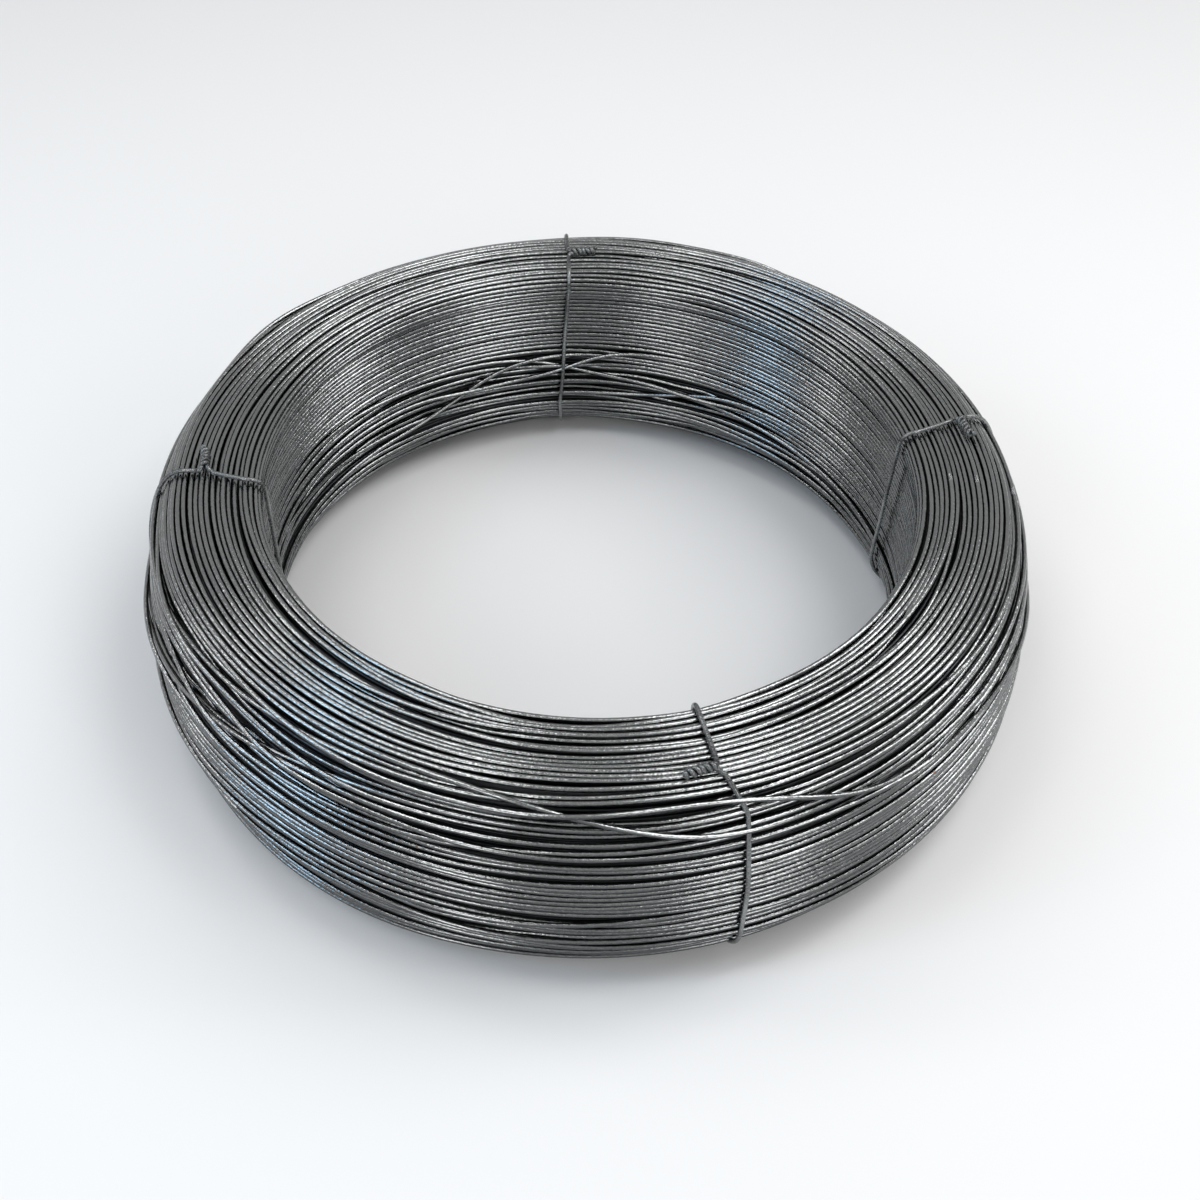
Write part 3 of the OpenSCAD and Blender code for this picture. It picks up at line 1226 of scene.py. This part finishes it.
class WIRECOIL_OT_stage(bpy.types.Operator):
    """Set the coil on a pale floor with soft lamps and the camera"""

    bl_idname = "wirecoil.stage"
    bl_label = "Set the Stage"

    # Lamps over the coil: place, width and length in metres, strength in watts and colour
    LAMPS = (
        ((0.44, -0.2, 1.2), (0.33, 0.53), 2.2, (1.0, 1.0, 1.0)),
        ((-0.37, -0.2, 1.2), (0.23, 0.5), 1.5, (1.0, 1.0, 1.0)),
        ((1.4, -1.9, 1.05), (1.0, 1.3), 11.5, (1.0, 1.0, 1.0)),
        ((-0.85, -1.9, 1.05), (0.5, 1.3), 6.2, (1.0, 1.0, 1.0)),
        ((0.68, 0.28, 1.2), (0.48, 1.0), 5.8, (1.0, 1.0, 1.0)),
        ((-0.45, 0.28, 1.2), (0.24, 0.7), 1.8, (1.0, 1.0, 1.0)),
        ((1.3, 0.05, 0.85), (0.2, 0.5), 1.4, (1.0, 1.0, 1.0)),
        ((-1.3, 0.05, 0.85), (0.2, 0.5), 1.4, (1.0, 1.0, 1.0)),
        ((-1.0, -0.4, 0.85), (0.26, 0.8), 2.6, (0.48, 0.74, 1.0)),
    )

    # Strength of the white sky, and half the side of the square floor
    SKY_STRENGTH = 0.4
    FLOOR_HALF = 6.0

    # Camera: degrees above the floor and of roll, distance from the origin, lens and sensor in millimetres,
    # shift of the picture, and nearest distance that it sees
    ELEVATION = 46.35
    ROLL = 1.79
    DISTANCE = 0.6994
    LENS = 47.535
    SENSOR_WIDTH = 36.0
    SHIFT = (0.0119, 0.0221)
    NEAREST = 0.01

    def execute(self, context):
        self.add_floor(context)
        for place, size, strength, colour in self.LAMPS:
            self.add_lamp(context, place, size, strength, colour)
        world = bpy.data.worlds.new("studio")
        world.use_nodes = True
        sky = world.node_tree.nodes["Background"]
        sky.inputs["Color"].default_value = (1, 1, 1, 1)
        sky.inputs["Strength"].default_value = self.SKY_STRENGTH
        context.scene.world = world
        context.scene.view_settings.view_transform = "Standard"
        self.add_camera(context)
        return {"FINISHED"}

    def add_floor(self, context):
        """A wide flat floor under the coil."""
        bm = bmesh.new()
        bmesh.ops.create_grid(bm, x_segments=1, y_segments=1, size=self.FLOOR_HALF)
        mesh = bpy.data.meshes.new("floor")
        bm.to_mesh(mesh)
        bm.free()
        mesh.materials.append(pale_floor(context.scene.wire_finish))
        floor = bpy.data.objects.new("floor", mesh)
        context.scene.collection.objects.link(floor)

    def add_lamp(self, context, place, size, strength, colour):
        """A soft lamp that shines at the origin."""
        light = bpy.data.lights.new("soft_lamp", "AREA")
        light.shape = "RECTANGLE"
        light.size, light.size_y = size
        light.energy = strength
        light.color = colour
        lamp = bpy.data.objects.new("soft_lamp", light)
        lamp.location = place
        lamp.rotation_euler = Vector(place).to_track_quat("Z", "Y").to_euler()
        context.scene.collection.objects.link(lamp)

    def add_camera(self, context):
        """The camera in front of the coil, at the photograph's view."""
        elevation, roll = math.radians(self.ELEVATION), math.radians(self.ROLL)
        data = bpy.data.cameras.new("camera")
        data.sensor_width = self.SENSOR_WIDTH
        data.lens = self.LENS
        data.shift_x, data.shift_y = self.SHIFT
        data.clip_start = self.NEAREST
        camera = bpy.data.objects.new("camera", data)
        camera.location = (0, -self.DISTANCE * math.cos(elevation), self.DISTANCE * math.sin(elevation))
        aim = Matrix.Rotation(math.pi / 2 - elevation, 3, "X") @ Matrix.Rotation(roll, 3, "Z")
        camera.rotation_euler = aim.to_euler()
        context.scene.collection.objects.link(camera)
        context.scene.camera = camera


class WIRECOIL_PT_panel(bpy.types.Panel):
    """Steps and sizes of the tied wire coil"""

    bl_idname = "WIRECOIL_PT_panel"
    bl_label = "Tied Wire Coil"
    bl_space_type = "VIEW_3D"
    bl_region_type = "UI"
    bl_category = "Wire Coil"

    def draw(self, context):
        layout = self.layout
        for operator in (WIRECOIL_OT_wind, WIRECOIL_OT_tie, WIRECOIL_OT_stage):
            layout.operator(operator.bl_idname)
        for group in (context.scene.wire_coil, context.scene.wire_ties, context.scene.wire_finish):
            column = layout.column(align=True)
            for name in group.bl_rna.properties.keys():
                if name not in ("rna_type", "name"):
                    column.prop(group, name)


CLASSES = (
    CoilSizes,
    TieSizes,
    WireFinish,
    WIRECOIL_OT_wind,
    WIRECOIL_OT_tie,
    WIRECOIL_OT_stage,
    WIRECOIL_PT_panel,
)


def register():
    for cls in CLASSES:
        bpy.utils.register_class(cls)
    bpy.types.Scene.wire_coil = PointerProperty(type=CoilSizes)
    bpy.types.Scene.wire_ties = PointerProperty(type=TieSizes)
    bpy.types.Scene.wire_finish = PointerProperty(type=WireFinish)


def unregister():
    for name in ("wire_finish", "wire_ties", "wire_coil"):
        delattr(bpy.types.Scene, name)
    for cls in reversed(CLASSES):
        bpy.utils.unregister_class(cls)


def main():
    register()
    bpy.ops.wirecoil.wind()
    bpy.ops.wirecoil.tie()
    bpy.ops.wirecoil.stage()


if __name__ == "__main__":
    main()
